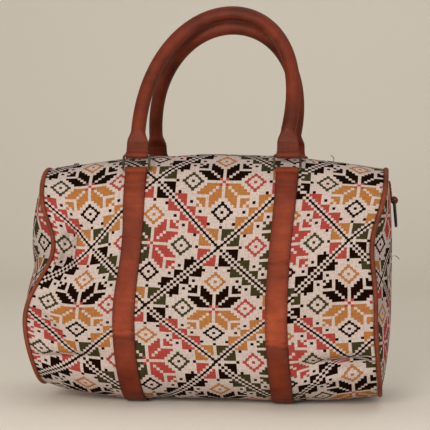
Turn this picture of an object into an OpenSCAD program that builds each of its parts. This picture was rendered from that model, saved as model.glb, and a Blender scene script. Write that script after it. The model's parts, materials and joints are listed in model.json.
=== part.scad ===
// Soft duffel bag of woven cloth: a zip on top, two leather bands right round it,
// wire rings, rolled leather handles, piped ends and a D-ring on each end.
// The front faces -Y, the right end faces +X, and the bag stands on its bands at z = 0.

/* [Body] */
// Length between the two piped end seams
body_len = 316; // [284:1:360]
// Depth from front to back, without the swell
body_depth = 152; // [136:1:180]
// Height of the cloth body from its base to its shoulders
body_height = 232; // [205:1:255]
// Radius of the shoulders
shoulder_r = 50; // [40:1:58]
// Radius of the lower corners
base_r = 52; // [42:1:60]
// Thickness of the cloth with its backing
cloth_t = 2; // [1.2:0.1:3]

/* [Soft shape] */
// How far the front and back swell out
fullness = 7; // [0:0.5:12]
// How far each end swells out
end_fullness = 12; // [8:0.5:18]
// How far the top droops towards the ends
end_droop = 14; // [6:0.5:18]
// How far the zip sinks between the shoulders
zip_dip = 5; // [0:0.5:7]
// How far the lower body hangs to the left
sway = 9; // [0:0.5:12]
// How far the base comes back to the right
sway_return = 4; // [0:0.5:8]
// Height below which the body hangs fully to the left
sway_height = 80; // [60:1:110]
// Distance below the shoulders' top at which the sideways hang starts
sway_from = 20; // [10:1:40]
// How far the front edge draws in at the left end
left_pinch = 18; // [0:0.5:20]
// How far the front edge draws in at the right end
right_pinch = 9; // [0:0.5:14]
// Height of the drawn-in place at the left end
pinch_height = 146; // [120:1:158]
// How much higher it is at the right end
pinch_step = 10; // [0:1:16]
// Reach of the drawn-in place up and down
pinch_reach = 38; // [25:1:44]
// How far the lower left front edge hangs out
left_slump = 5; // [0:0.5:12]
// Height of the hanging place
slump_height = 74; // [60:1:100]
// How far the base rises at the left end
left_rise = 13; // [0:0.5:18]
// How far the base rises at the right end
right_rise = 6; // [0:0.5:14]

/* [Bands] */
// Width of each leather band
band_w = 20; // [16:0.5:26]
// Thickness of the leather
band_t = 2; // [1.2:0.1:3]
// Distance between the middles of the two bands
band_spacing = 138; // [120:1:165]
// Place of the band ends on the shoulder, in degrees above its start
band_end_angle = 40; // [34:1:55]
// Length of the turned-over end of each band
turn_len = 14; // [10:1:22]

/* [Rings and handles] */
// Wire of the four rings
ring_wire = 2.2; // [1.8:0.1:3]
// Distance between a ring's lower and upper bars
ring_rise = 15; // [12:0.5:20]
// Corner radius of a ring at the middle of its wire
ring_corner = 2.2; // [1.8:0.1:2.6]
// Room in the ring beside the leather, each side
ring_play = 0.8; // [0.6:0.1:1.6]
// Diameter of the rolled handles
handle_d = 13.5; // [10:0.5:16]
// Height of the handle's arch above the ring's upper bar
handle_reach = 143; // [120:1:165]
// How far the handle's arch leans to the right
handle_skew = 13; // [0:1:24]
// How far the arch's shoulders stand out beyond an ellipse
handle_full = 5; // [0:0.5:8]
// How much lower the rear handle's arch is than the front's
rear_drop = 5.5; // [4.5:0.5:12]
// How far in front of the bag's middle the front handle's top lies
top_forward = 12; // [4:1:20]
// How far behind it the rear handle's top lies
top_stagger = 10; // [9:0.5:16]
// Width of the flat handle ends
tab_w = 20; // [16:0.5:26]
// Length of the flat handle ends
tab_len = 12; // [8:1:18]
// Length over which the flat end becomes round
taper_len = 12; // [9:1:20]

/* [Piping] */
// Diameter of the piping
piping_d = 4.4; // [3.2:0.1:6]

/* [Zip] */
// Width of the slot between the two cloth edges
zip_slot = 28; // [22:1:36]
// Thickness of the zip tapes
tape_t = 0.8; // [0.5:0.1:1.2]
// Width of each row of teeth
coil_w = 2.2; // [1.6:0.1:3]
// Thickness of the rows of teeth
coil_t = 2.4; // [1.8:0.1:3]
// Width of the slider's post, which runs between the rows
post_w = 1; // [0.8:0.1:1.4]
// Length of the slider
slider_len = 12; // [9:0.5:15]
// Width of the slider
slider_w = 9; // [8:0.5:12]
// Thickness of the slider's two plates
slider_plate = 1.2; // [0.8:0.1:1.6]
// Distance from the end seam to the slider's middle when closed
slider_stop = 20; // [16:1:40]
// Diameter of the pin that holds the puller
puller_pin = 1.6; // [1.2:0.1:2]
// Length of the puller
puller_len = 20; // [16:1:26]
// Width of the puller
puller_w = 6; // [4.6:0.2:7]
// Thickness of the puller
puller_t = 1.4; // [1:0.1:2]

/* [End rings] */
// Inside width of each D-ring
dee_w = 22; // [18:0.5:28]
// Wire of the D-rings
dee_wire = 2.8; // [2:0.1:3.4]
// Length of a D-ring's straight sides
dee_leg = 12; // [6:0.5:14]
// Length of the leather tab that holds a D-ring
dee_tab_len = 18; // [14:1:26]
// Distance from the top seam down to the tab
dee_tab_drop = 8; // [7:1:18]
// Angle at which a D-ring stands off the end's cloth, in degrees
dee_lean = 1; // [0:1:14]

/* [Fits] */
// Gap between soft layers that lie on each other
soft_gap = 0.3; // [0.2:0.05:0.5]
// Gap round a wire in its leather loop, and round the puller's pin
pin_gap = 0.2; // [0.1:0.05:0.3]
// Gap round the rows of teeth inside the slider
slide_gap = 0.35; // [0.3:0.05:0.5]

/* [Hidden] */

cloth_colour = [0.83, 0.79, 0.74];
leather_colour = [0.54, 0.24, 0.15];
handle_colour = [0.42, 0.20, 0.13];
wire_colour = [0.62, 0.57, 0.47];
dark_colour = [0.20, 0.18, 0.17];
tape_colour = [0.25, 0.20, 0.17];

// Smoothness of the meshes and of the round pieces
arc_steps = 6;
wall_steps = 5;
flat_steps = 2;
length_steps = 18;
band_steps = 2;
end_rings = 5;
piping_sides = 8;
handle_sides = 12;
arch_steps = 30;
round_fn = 48;
zip_fn = 720;

// Room between two rows of mesh points, and how square the flat handle ends are
step_room = 1;
flat_power = 0.35;

// Lengths round the body, from the middle of the base to the zip
base_flat = body_depth / 2 - base_r;
base_arc = base_r * PI / 2;
wall_len = body_height - base_r - shoulder_r;
shoulder_arc = shoulder_r * PI / 2;
top_flat = body_depth / 2 - shoulder_r;
arc_from = base_flat + base_arc;
shoulder_from = arc_from + wall_len;
top_from = shoulder_from + shoulder_arc;
half_girth = top_from + top_flat;

lift = band_t + soft_gap;
piping_r = piping_d / 2;
seam_inset = piping_r + soft_gap;
half_panel = body_len / 2 - seam_inset;
end_inset = cloth_t / 2 + piping_r + soft_gap;
slot_at = half_girth - zip_slot / 2;

// The top is an arc seen from the front, and the zip follows it
zip_radius = (pow(body_len / 2, 2) + pow(end_droop, 2)) / (2 * end_droop);
zip_z = lift + body_height - zip_dip - cloth_t / 2;
coil_gap = post_w + 2 * slide_gap;
coil_edge = coil_gap / 2 + coil_w;
slider_angle = asin((body_len / 2 - slider_stop) / zip_radius);

loop_r = ring_wire / 2 + pin_gap + band_t;
bore_r = ring_wire / 2 + pin_gap;
band_u = band_spacing / 2 / half_panel;
band_half_u = band_w / 2 / half_panel;
band_end = shoulder_from + band_end_angle * PI / 180 * shoulder_r;
ring_half = max(band_w, tab_w) / 2 + ring_play + ring_wire / 2;
tab_t = 2 * band_t;

// Soft steps and bumps
function ease(t) = let (c = min(1, max(0, t))) c * c * (3 - 2 * c);
function bump(x, middle, reach) = exp(-pow((x - middle) / reach, 2));
function mix(a, b, t) = a + (b - a) * t;
function stretch(from, to, steps) = [for (i = [0 : steps - 1]) mix(from, to, i / steps)];

// Section of the body at a length a from the middle of the base:
// distance from the middle plane, height, and angle of the surface above level
function section(a) =
  a <= base_flat ? [a, 0, -90]
  : a <= arc_from ? let (t = (a - base_flat) / base_r * 180 / PI)
    [base_flat + base_r * sin(t), base_r * (1 - cos(t)), t - 90]
  : a <= shoulder_from ? [body_depth / 2, base_r + a - arc_from, 0]
  : a <= top_from ? let (t = (a - shoulder_from) / shoulder_r * 180 / PI)
    [top_flat + shoulder_r * cos(t), body_height - shoulder_r + shoulder_r * sin(t), t]
  : [half_girth - a, body_height, 90];

// Sideways hang, and shift of the front edges, at a height h
function sway_at(h) =
  let (top = body_height - sway_from)
  sway_return * ease(1 - h / sway_height) - sway * ease((top - h) / (top - sway_height));
function edge_shift(side, h, depth) =
  ease(0.5 - depth / body_depth)
  * (side > 0 ? -right_pinch * bump(h, pinch_height + pinch_step, pinch_reach)
    : left_pinch * bump(h, pinch_height, pinch_reach) - left_slump * bump(h, slump_height, pinch_reach));

// Rise of the base beyond the bands, on which the bag stands
function rise_at(u, high) =
  let (out = max(0, abs(u) - band_u - band_half_u) / (1 - band_u - band_half_u))
  (u > 0 ? right_rise : left_rise) * out * out * pow(1 - high, 3);

// Point on the body: u runs from the left seam (-1) to the right (1), s runs from the
// base's middle up the front (positive) or back (negative), and off is the height above the cloth
function skin(u, s, off = 0, inset = 0) =
  let (
    p = section(abs(s)),
    swell = fullness * (1 - u * u) * sin(180 * p[1] / body_height),
    depth = (s > 0 ? -1 : 1) * (p[0] + (swell + off) * cos(p[2])),
    along = u * body_len / 2,
    droop = zip_radius - sqrt(zip_radius * zip_radius - along * along),
    high = p[1] / body_height,
    dip = zip_dip * bump(p[0], 0, shoulder_r / 2) * pow(high, 8),
    z = p[1] + (swell + off) * sin(p[2]) - droop * pow(high, 3) - dip + rise_at(u, high)
  )
  [u * (body_len / 2 - inset) + pow(abs(u), 2.5) * edge_shift(u, p[1], depth) + sway_at(p[1]), depth, lift + z];

// Point on the cloth panel between the seams
function cloth(u, s, off = 0) = skin(u, s, off, seam_inset);

// Point on an end: r runs from its middle (0) to its rim (1), and s runs round it
function end_skin(side, r, s, off = 0) =
  let (
    rim = skin(side, s, -end_inset),
    middle = lift + body_height / 2,
    x = mix(side * body_len / 2 + sway_at(body_height / 2), rim[0], r * r)
  )
  [x + side * (end_fullness * (1 - pow(r, 2.5)) + off), rim[1] * r, mix(middle, rim[2], r)];

// Lengths from the base's middle at which the meshes have their points
half_steps = concat(
  stretch(0, base_flat, flat_steps),
  stretch(base_flat, arc_from, arc_steps),
  stretch(arc_from, shoulder_from, wall_steps),
  stretch(shoulder_from, top_from, arc_steps)
);
function both_ways(a) = concat([for (i = [len(a) - 1 : -1 : 1]) -a[i]], a);
panel_steps = both_ways(concat(half_steps, stretch(top_from, slot_at, flat_steps), [slot_at]));
round_steps = both_ways(concat(half_steps, stretch(top_from, half_girth, flat_steps), [half_girth]));
loop_steps = [for (i = [1 : len(round_steps) - 1]) round_steps[i]];

// Triangles of one side of a grid
function grid_faces(rows, cols, first, turned) = [
  for (r = [0 : rows - 2], c = [0 : cols - 2])
    let (a = first + r * cols + c, b = a + 1, d = a + cols, e = d + 1)
    each turned ? [[a, b, e], [a, e, d]] : [[a, e, b], [a, d, e]]
];

// Closed sheet between an outer and an inner grid of points
module sheet(outer, inner) {
  rows = len(outer);
  cols = len(outer[0]);
  n = rows * cols;
  edge = concat(
    [for (c = [0 : cols - 1]) c],
    [for (r = [1 : rows - 1]) r * cols + cols - 1],
    [for (c = [cols - 2 : -1 : 0]) (rows - 1) * cols + c],
    [for (r = [rows - 2 : -1 : 1]) r * cols]
  );
  rim = [
    for (i = [0 : len(edge) - 1])
      let (a = edge[i], b = edge[(i + 1) % len(edge)])
      each [[a, b, b + n], [a, b + n, a + n]]
  ];
  points = concat([for (row = outer) each row], [for (row = inner) each row]);
  polyhedron(points, concat(grid_faces(rows, cols, 0, false), grid_faces(rows, cols, n, true), rim));
}

// Closed tube through rings of points, with end caps unless it is a loop
module tube(rings, closed = false) {
  count = len(rings);
  sides = len(rings[0]);
  last = closed ? count - 1 : count - 2;
  wall = [
    for (r = [0 : last], i = [0 : sides - 1])
      let (
        next = (r + 1) % count,
        j = (i + 1) % sides,
        a = r * sides + i,
        b = r * sides + j,
        d = next * sides + i,
        e = next * sides + j
      )
      each [[a, e, b], [a, d, e]]
  ];
  caps = closed ? [] : [
    [for (i = [0 : sides - 1]) i],
    [for (i = [sides - 1 : -1 : 0]) (count - 1) * sides + i]
  ];
  polyhedron([for (ring = rings) each ring], concat(wall, caps));
}

// Cloth from one zip edge down the front, under the base and up the back
module body_panel() {
  us = [for (i = [0 : length_steps]) 2 * i / length_steps - 1];
  color(cloth_colour)
    sheet(
      [for (s = panel_steps) [for (u = us) cloth(u, s)]],
      [for (s = panel_steps) [for (u = us) cloth(u, s, -cloth_t)]]
    );
}

// Bulging cloth end, a fan in the middle of rings that follow the seam
module end_panel(side) {
  count = len(loop_steps);
  n = end_rings * count + 1;
  function face(off) = concat(
    [end_skin(side, 0, 0, off)],
    [for (k = [1 : end_rings]) each [for (s = loop_steps) end_skin(side, k / end_rings, s, off)]]
  );
  function at(k, i) = 1 + (k - 1) * count + i % count;
  fan = [for (i = [0 : count - 1]) [0, at(1, i), at(1, i + 1)]];
  ring = [
    for (k = [1 : end_rings - 1], i = [0 : count - 1])
      each [[at(k, i), at(k + 1, i), at(k + 1, i + 1)], [at(k, i), at(k + 1, i + 1), at(k, i + 1)]]
  ];
  rim = [
    for (i = [0 : count - 1])
      let (a = at(end_rings, i), b = at(end_rings, i + 1))
      each [[a, a + n, b + n], [a, b + n, b]]
  ];
  half = concat(fan, ring);
  back = [for (f = half) [f[0] + n, f[2] + n, f[1] + n]];
  all = concat(half, back, rim);
  color(cloth_colour)
    polyhedron(
      concat(face(cloth_t / 2), face(-cloth_t / 2)),
      side > 0 ? all : [for (f = all) [f[0], f[2], f[1]]]
    );
}

// Piping round an end seam
module piping(side) {
  function ring_at(s) = [
    for (i = [0 : piping_sides - 1])
      let (t = -360 * i / piping_sides)
      skin(side, s, -cloth_t / 2 + piping_r * sin(t)) + [piping_r * cos(t), 0, 0]
  ];
  color(leather_colour) tube([for (s = loop_steps) ring_at(s)], closed = true);
}

// Middle of the loop at a band's end, on the front (-1) or the back (1)
function loop_middle(side, front) = cloth(side * band_u, -front * band_end, soft_gap + loop_r);

// Leather band from ring to ring under the base, with each end turned over its ring
module strap(side) {
  turn_from = band_end - turn_len;
  plain = [for (a = half_steps) if (a < turn_from - step_room) a];
  turned = [for (a = half_steps) if (a > turn_from + step_room && a < band_end - step_room) a];
  steps = both_ways(concat(plain, [turn_from, turn_from + soft_gap], turned, [band_end]));
  us = [for (i = [0 : band_steps]) side * band_u + (2 * i / band_steps - 1) * band_half_u];
  function thickness(s) = abs(s) > turn_from ? 2 * band_t : band_t;
  color(leather_colour)
    difference() {
      union() {
        sheet(
          [for (s = steps) [for (u = us) cloth(u, s, soft_gap + thickness(s))]],
          [for (s = steps) [for (u = us) cloth(u, s, soft_gap)]]
        );
        for (front = [-1, 1])
          translate(loop_middle(side, front))
            rotate([0, 90, 0])
              cylinder(h = band_w, r = loop_r, center = true, $fn = round_fn);
      }
      for (front = [-1, 1])
        translate(loop_middle(side, front))
          rotate([0, 90, 0])
            cylinder(h = 2 * band_w, r = bore_r, center = true, $fn = round_fn);
    }
}

// Wire rectangle that stands on its lower bar at the origin, in the XZ plane
module ring() {
  bar = 2 * (ring_half - ring_corner);
  post = ring_rise - 2 * ring_corner;
  color(wire_colour) {
    for (z = [0, ring_rise])
      translate([0, 0, z])
        rotate([0, 90, 0])
          cylinder(h = bar, d = ring_wire, center = true, $fn = round_fn);
    for (x = [-ring_half, ring_half])
      translate([x, 0, ring_corner])
        cylinder(h = post, d = ring_wire, $fn = round_fn);
    for (side = [-1, 1], top = [0, 1])
      translate([side * bar / 2, 0, top ? ring_rise - ring_corner : ring_corner])
        rotate([90, 0, 0])
          rotate([0, 0, side > 0 ? (top ? 0 : 270) : (top ? 90 : 180)])
            rotate_extrude(angle = 90, $fn = round_fn)
              translate([ring_corner, 0])
                circle(d = ring_wire, $fn = round_fn);
  }
}

// Arch of the front (-1) or rear (1) handle, and its lean towards the other as a turn about X.
// The rear handle's top lies below and behind the front one's
loop_back = loop_middle(1, 1)[1];
function reach_of(front) = handle_reach - (front < 0 ? 0 : rear_drop);
function lean(front) =
  let (top_at = front < 0 ? -top_forward : top_forward - top_stagger)
  front * asin((loop_back + top_at) / (ring_rise + reach_of(front)));

module ring_at(side, front) {
  translate(loop_middle(side, front))
    rotate([lean(front), 0, 0])
      ring();
}

// Rolled handle in the XZ plane, its end loops on the ring's upper bar at z = 0
module handle(reach) {
  foot = tab_len + taper_len;
  half = band_spacing / 2;
  function arch(t) = [
    half * cos(t) + handle_skew * sin(t) + handle_full * sin(2 * t),
    foot + (reach - foot) * sin(t)
  ];
  function heading(t) = atan2(
    (reach - foot) * cos(t),
    handle_skew * cos(t) - half * sin(t) + 2 * handle_full * cos(2 * t)
  );
  // Section across the handle: flat is 1 on the flat ends and 0 where it is round
  function slice(p, turn, flat) = [
    for (i = [0 : handle_sides - 1])
      let (
        t = 360 * (i + 0.5) / handle_sides,
        power = mix(1, flat_power, flat),
        wide = mix(handle_d, tab_w - 2 * soft_gap, flat) / 2 * sign(cos(t)) * pow(abs(cos(t)), power),
        thick = mix(handle_d, tab_t, flat) / 2 * sign(sin(t)) * pow(abs(sin(t)), power)
      )
      [p[0] + wide * sin(turn), thick, p[1] - wide * cos(turn)]
  ];
  function leg(side) = [
    for (flat = [1, 0.999, 0.6, 0.25])
      slice([side * half, flat == 1 ? 0 : tab_len + taper_len * (1 - flat)], side * 90, flat)
  ];
  right = leg(1);
  left = leg(-1);
  top = [for (i = [0 : arch_steps]) slice(arch(180 * i / arch_steps), heading(180 * i / arch_steps), 0)];
  color(handle_colour)
    difference() {
      union() {
        tube(concat(right, top, [for (i = [len(left) - 1 : -1 : 0]) left[i]]));
        for (x = [-half, half])
          translate([x, 0, 0])
            rotate([0, 90, 0])
              cylinder(h = tab_w, r = loop_r, center = true, $fn = round_fn);
      }
      for (x = [-half, half])
        translate([x, 0, 0])
          rotate([0, 90, 0])
            cylinder(h = 2 * tab_w, r = bore_r, center = true, $fn = round_fn);
    }
}

module handle_at(front) {
  loop = loop_middle(1, front);
  translate([0, loop[1], loop[2]])
    rotate([lean(front), 0, 0])
      translate([0, 0, ring_rise])
        handle(reach_of(front));
}

// Zip tape between the cloth's edge and the row of teeth
module zip_tape(front) {
  us = [for (i = [0 : length_steps]) 2 * i / length_steps - 1];
  across = [slot_at + soft_gap, half_girth - coil_edge - soft_gap];
  edges = front < 0 ? across : [-across[1], -across[0]];
  color(tape_colour)
    sheet(
      [for (s = edges) [for (u = us) cloth(u, s, (tape_t - cloth_t) / 2)]],
      [for (s = edges) [for (u = us) cloth(u, s, -(tape_t + cloth_t) / 2)]]
    );
}

// Row of teeth along the arc of the zip
module zip_coil(front) {
  sweep = asin(half_panel / zip_radius);
  color(dark_colour)
    translate([0, 0, zip_z - zip_radius])
      rotate([90, 0, 0])
        translate([0, 0, front < 0 ? coil_gap / 2 : -coil_edge])
          rotate([0, 0, 90 - sweep])
            rotate_extrude_band(zip_radius - coil_t / 2, zip_radius + coil_t / 2, 2 * sweep, coil_w);
}

// Flat band bent round the Z axis, from one radius to another
module rotate_extrude_band(inner, outer, angle, width) {
  rotate_extrude(angle = angle, $fn = zip_fn)
    translate([inner, 0])
      square([outer - inner, width]);
}

plate_at = coil_t / 2 + slide_gap;
slider_top = plate_at + slider_plate;
eye_r = puller_pin / 2 + pin_gap + puller_t / 2;
pin_z = slider_top + soft_gap + eye_r;
ear_t = (slider_w - puller_w) / 2 - 2 * soft_gap;

// Puts a piece that is drawn at the zip's middle where the closed slider is, near the left end.
// X then points outwards along the zip
module at_slider() {
  translate([0, 0, zip_z - zip_radius])
    rotate([0, 0, 180])
      rotate([0, slider_angle, 0])
        translate([0, 0, zip_radius])
          children();
}

// Slider with two plates, the post between the rows and two ears with a pin
module zip_slider() {
  color(dark_colour)
    at_slider() {
      for (z = [-slider_top, plate_at])
        translate([0, 0, z])
          intersection() {
            translate([-slider_len / 2, -slider_w / 2, 0])
              cube([slider_len, slider_w, slider_plate]);
            cylinder(h = slider_plate, d = slider_len, $fn = round_fn);
          }
      translate([slider_len / 4, -post_w / 2, -slider_top])
        cube([slider_len / 6, post_w, 2 * slider_top]);
      for (side = [-1, 1])
        translate([-eye_r, side > 0 ? slider_w / 2 - ear_t : -slider_w / 2, plate_at])
          cube([2 * eye_r, ear_t, pin_z - plate_at + eye_r]);
      translate([0, 0, pin_z])
        rotate([90, 0, 0])
          cylinder(h = slider_w - ear_t, d = puller_pin, center = true, $fn = round_fn);
    }
}

// Flat puller that turns on the slider's pin and lies outwards along the zip
module zip_puller() {
  color(dark_colour)
    at_slider()
      translate([0, 0, pin_z])
        difference() {
          union() {
            rotate([90, 0, 0])
              cylinder(h = puller_w, r = eye_r, center = true, $fn = round_fn);
            translate([0, -puller_w / 2, -puller_t / 2])
              cube([puller_len - puller_w / 2, puller_w, puller_t]);
            translate([puller_len - puller_w / 2, 0, -puller_t / 2])
              cylinder(h = puller_t, d = puller_w, $fn = round_fn);
          }
          rotate([90, 0, 0])
            cylinder(h = 2 * puller_w, r = puller_pin / 2 + pin_gap, center = true, $fn = round_fn);
        }
}

// Place on an end's upper middle, at a height and a distance to the back
end_middle = lift + body_height / 2;
function end_rim_z(side, back) = skin(side, half_girth - back, -end_inset)[2];
function end_spot(side, back, z, off) =
  let (r = (z - end_middle) / (end_rim_z(side, 0) - end_middle))
  end_skin(side, r, (back > 0 ? -1 : 1) * (half_girth - abs(back) / r), off);

dee_loop_r = dee_wire / 2 + pin_gap + band_t;
dee_tab_w = dee_w - 2 * ring_play;
dee_top = lift + body_height - end_droop - zip_dip - dee_tab_drop;
dee_low = dee_top - dee_tab_len;
dee_r = (dee_w + dee_wire) / 2;
dee_bow_d = dee_wire - pin_gap;
dee_drop = dee_leg + dee_r;
function dee_axis(side) = end_spot(side, 0, dee_low, cloth_t / 2 + soft_gap + dee_loop_r);

// Turn of a D-ring on its bar, by which it hangs along the end, and the farthest that it reaches
function dee_turn(side) =
  let (out = end_spot(side, 0, dee_low - dee_drop, 0)[0] - end_spot(side, 0, dee_low, 0)[0])
  dee_lean + atan(side * out / dee_drop);
function dee_reach(side) =
  dee_axis(side)[0] + side * max(dee_loop_r, dee_drop * sin(dee_turn(side)) + dee_bow_d / 2);

// Leather tab on an end, with its lower edge turned round the D-ring's bar
module side_tab(side) {
  rows = [for (i = [0 : 3]) mix(dee_low, dee_top, i / 3)];
  cols = [for (i = [0 : 4]) side * (i / 4 - 0.5) * dee_tab_w];
  under = cloth_t / 2 + soft_gap;
  color(leather_colour)
    difference() {
      union() {
        sheet(
          [for (z = rows) [for (y = cols) end_spot(side, y, z, under + band_t)]],
          [for (z = rows) [for (y = cols) end_spot(side, y, z, under)]]
        );
        translate(dee_axis(side))
          rotate([90, 0, 0])
            cylinder(h = dee_tab_w, r = dee_loop_r, center = true, $fn = round_fn);
      }
      translate(dee_axis(side))
        rotate([90, 0, 0])
          cylinder(h = 2 * dee_tab_w, r = dee_wire / 2 + pin_gap, center = true, $fn = round_fn);
    }
}

// D-ring that hangs from its straight bar
module side_ring(side) {
  color(dark_colour)
    translate(dee_axis(side))
      rotate([0, -side * dee_turn(side), 0]) {
        rotate([90, 0, 0])
          cylinder(h = 2 * dee_r + dee_wire + pin_gap, d = dee_wire, center = true, $fn = round_fn);
        for (y = [-dee_r, dee_r])
          translate([0, y, -dee_leg])
            cylinder(h = dee_leg, d = dee_bow_d, $fn = round_fn);
        translate([0, 0, -dee_leg])
          rotate([0, 90, 0])
            rotate([0, 0, -90])
              rotate_extrude(angle = 180, $fn = round_fn)
                translate([dee_r, 0])
                  circle(d = dee_bow_d, $fn = round_fn);
      }
}

// Puts the origin under the middle of the whole bag, between its two D-rings
centre_x = -(dee_reach(-1) + dee_reach(1)) / 2;
module placed() {
  translate([centre_x, 0, 0])
    children();
}

placed() body_panel();
placed() end_panel(-1);  // end_panel_left
placed() end_panel(1);  // end_panel_right
placed() piping(-1);  // piping_left
placed() piping(1);  // piping_right
placed() strap(-1);  // strap_left
placed() strap(1);  // strap_right
placed() ring_at(-1, -1);  // ring_front_left
placed() ring_at(1, -1);  // ring_front_right
placed() ring_at(-1, 1);  // ring_rear_left
placed() ring_at(1, 1);  // ring_rear_right
placed() handle_at(-1);  // handle_front
placed() handle_at(1);  // handle_rear
placed() zip_tape(-1);  // zip_tape_front
placed() zip_tape(1);  // zip_tape_rear
placed() zip_coil(-1);  // zip_coil_front
placed() zip_coil(1);  // zip_coil_rear
placed() zip_slider();
placed() zip_puller();
placed() side_tab(-1);  // side_tab_left
placed() side_tab(1);  // side_tab_right
placed() side_ring(-1);  // side_ring_left
placed() side_ring(1);  // side_ring_right
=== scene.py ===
"""Soft duffel bag of patterned cloth with leather bands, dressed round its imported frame.

Lengths are in metres and angles in degrees. The front faces -Y and the bag stands on z = 0.
"""

import json
import math

import bpy
import numpy as np
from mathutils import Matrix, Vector


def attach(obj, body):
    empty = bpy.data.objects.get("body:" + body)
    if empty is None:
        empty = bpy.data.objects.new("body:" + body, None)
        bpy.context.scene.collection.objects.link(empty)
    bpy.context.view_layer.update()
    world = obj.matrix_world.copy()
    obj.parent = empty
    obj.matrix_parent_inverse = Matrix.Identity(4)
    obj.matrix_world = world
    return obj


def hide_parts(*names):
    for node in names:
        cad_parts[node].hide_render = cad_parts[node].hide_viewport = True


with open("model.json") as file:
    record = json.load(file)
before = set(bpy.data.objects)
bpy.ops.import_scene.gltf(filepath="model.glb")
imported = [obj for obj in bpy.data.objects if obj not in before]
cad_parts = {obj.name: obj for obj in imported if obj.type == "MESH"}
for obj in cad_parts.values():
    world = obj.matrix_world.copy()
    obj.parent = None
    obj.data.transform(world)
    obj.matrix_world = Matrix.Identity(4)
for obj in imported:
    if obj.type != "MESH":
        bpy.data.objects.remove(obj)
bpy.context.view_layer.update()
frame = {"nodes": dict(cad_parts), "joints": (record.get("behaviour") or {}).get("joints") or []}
joints = {j["name"]: j for j in frame["joints"]}

# The body's shape, as in the part's source
BODY_LEN = 0.316
BODY_DEPTH = 0.152
BODY_HEIGHT = 0.232
SHOULDER_R = 0.050
BASE_R = 0.052
CLOTH_T = 0.002
FULLNESS = 0.007
END_FULLNESS = 0.012
END_DROOP = 0.014
ZIP_DIP = 0.005
SWAY = 0.009
SWAY_RETURN = 0.004
SWAY_HEIGHT = 0.080
SWAY_FROM = 0.020
LEFT_PINCH = 0.018
RIGHT_PINCH = 0.009
PINCH_HEIGHT = 0.146
PINCH_STEP = 0.010
PINCH_REACH = 0.038
LEFT_SLUMP = 0.005
SLUMP_HEIGHT = 0.074
LEFT_RISE = 0.013
RIGHT_RISE = 0.006
BAND_W = 0.020
BAND_T = 0.002
BAND_SPACING = 0.138
BAND_END_ANGLE = 40
TURN_LEN = 0.014
RING_WIRE = 0.0022
HANDLE_D = 0.0135
HANDLE_REACH = 0.143
REAR_DROP = 0.0055
HANDLE_SKEW = 0.013
HANDLE_FULL = 0.005
TAB_W = 0.020
TAB_LEN = 0.012
TAPER_LEN = 0.012
PIPING_R = 0.0022
ZIP_SLOT = 0.028
TAPE_T = 0.0008
COIL_W = 0.0022
COIL_T = 0.0024
COIL_GAP = 0.0017
DEE_W = 0.022
DEE_WIRE = 0.0028
DEE_TAB_LEN = 0.018
DEE_TAB_DROP = 0.008
RING_PLAY = 0.0008
SOFT_GAP = 0.0003
PIN_GAP = 0.0002

# Worked out from them
LIFT = BAND_T + SOFT_GAP
SEAM_INSET = PIPING_R + SOFT_GAP
HALF_PANEL = BODY_LEN / 2 - SEAM_INSET
END_INSET = CLOTH_T / 2 + PIPING_R + SOFT_GAP
BASE_FLAT = BODY_DEPTH / 2 - BASE_R
ARC_FROM = BASE_FLAT + BASE_R * math.pi / 2
SHOULDER_FROM = ARC_FROM + BODY_HEIGHT - BASE_R - SHOULDER_R
TOP_FROM = SHOULDER_FROM + SHOULDER_R * math.pi / 2
TOP_FLAT = BODY_DEPTH / 2 - SHOULDER_R
HALF_GIRTH = TOP_FROM + TOP_FLAT
SLOT_AT = HALF_GIRTH - ZIP_SLOT / 2
ZIP_RADIUS = ((BODY_LEN / 2) ** 2 + END_DROOP ** 2) / (2 * END_DROOP)
BAND_U = BAND_SPACING / 2 / HALF_PANEL
BAND_HALF_U = BAND_W / 2 / HALF_PANEL
RISE_FROM = BAND_U + BAND_HALF_U
BAND_END = SHOULDER_FROM + math.radians(BAND_END_ANGLE) * SHOULDER_R
LOOP_R = RING_WIRE / 2 + PIN_GAP + BAND_T
CENTRE_X = joints["zip_travel"]["pos_m"][0]
ZIP_Z = LIFT + BODY_HEIGHT - ZIP_DIP - CLOTH_T / 2
COIL_EDGE = COIL_GAP / 2 + COIL_W
END_MIDDLE = LIFT + BODY_HEIGHT / 2
DEE_LOOP_R = DEE_WIRE / 2 + PIN_GAP + BAND_T
DEE_TAB_W = DEE_W - 2 * RING_PLAY
DEE_TOP = LIFT + BODY_HEIGHT - END_DROOP - ZIP_DIP - DEE_TAB_DROP
DEE_LOW = DEE_TOP - DEE_TAB_LEN

# The woven pattern: size of a stitch and of the repeat, where it starts, and how its rows bend
STITCH_X = 0.00282
STITCH_S = 0.00260
HALF_REPEAT = 22
PATTERN_X = 0.0115
PATTERN_S = 0.206
MIDDLE_SAG = 0.006
SAG_U = 0.1
SAG_WIDTH = 0.35
LEFT_SAG = 0.0115
RIGHT_LIFT = 0.005
LEFT_RETURN = 0.0135
RETURN_U = -0.64
RETURN_REACH = 0.17
SAG_REACH = 0.09
LOW_FROM = 0.147
LOW_REACH = 0.050
LOW_LIFT = 0.006
LOW_FADE = 0.6
LEFT_TUCK = 0.004
RIGHT_TUCK = 0.019
TUCK_FROM = 0.097
TUCK_REACH = 0.034
CREAM, BLACK, MUSTARD, RED, OLIVE = range(5)
# How strongly a line fills the four corners of a stitch, whose quad is split between the first and third
JOINED_REACH = np.array([0.72, 0.86, 0.72, 0.86])
THREADS = ["#c8b9b1", "#180902", "#aa713e", "#a4443d", "#3c3920"]


def srgb(text):
    """Linear colour of a #rrggbb text."""
    parts = [int(text[i:i + 2], 16) / 255 for i in (1, 3, 5)]
    return [p / 12.92 if p <= 0.04045 else ((p + 0.055) / 1.055) ** 2.4 for p in parts]


def ease(t):
    """Smooth step from 0 to 1."""
    c = np.clip(t, 0, 1)
    return c * c * (3 - 2 * c)


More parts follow.
